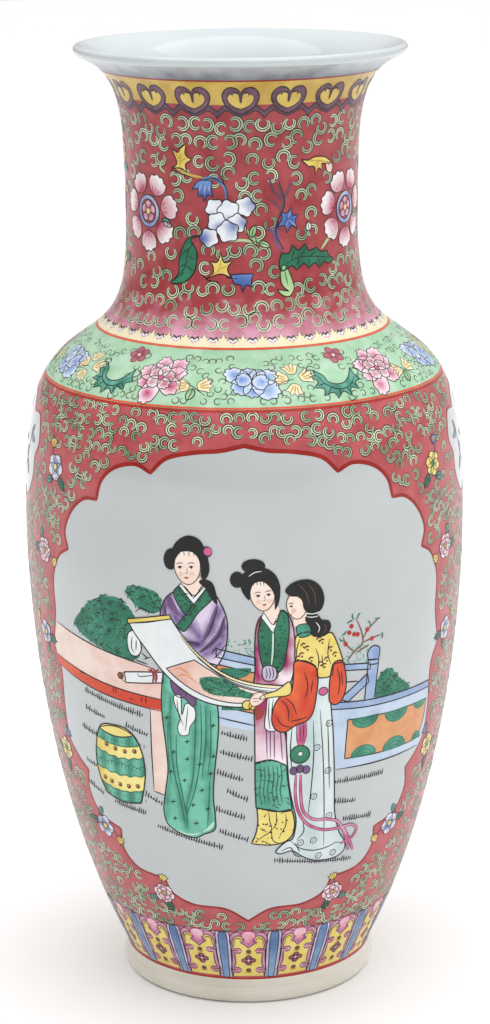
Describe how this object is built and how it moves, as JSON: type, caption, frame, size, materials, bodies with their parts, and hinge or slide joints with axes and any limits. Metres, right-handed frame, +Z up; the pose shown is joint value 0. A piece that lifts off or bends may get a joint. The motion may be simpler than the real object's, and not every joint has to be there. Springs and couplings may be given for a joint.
{
  "type": "porcelain baluster vase",
  "caption": "Tall baluster vase with a flared mouth, waisted neck, broad shoulder and turned foot, covered in enamel curls, flowers and a large figure panel.",
  "frame": {"origin": "centre of the foot's standing ring, on the surface it stands on", "axes": "+Z up along the axis of rotation; -Y faces the viewer, towards the front panel"},
  "size_m": [0.282, 0.282, 0.6099],
  "materials": {
    "white_glaze": "glossy white porcelain glaze",
    "bare_paste": "unglazed fired paste",
    "slip": "fired slip that joins two sections",
    "rose_enamel": "glossy rose overglaze enamel",
    "green_enamel": "glossy pale green overglaze enamel",
    "ochre_enamel": "glossy ochre yellow overglaze enamel"
  },
  "bodies": {
    "root": {"foot_ring": "white_glaze", "base_floor": "bare_paste", "lower_body": "rose_enamel", "lower_body_seam": "slip", "belly": "rose_enamel", "belly_seam": "slip", "shoulder": "green_enamel", "shoulder_seam": "slip", "neck": "rose_enamel", "mouth_seam": "slip", "flared_mouth": "ochre_enamel"}
  },
  "joints": []
}
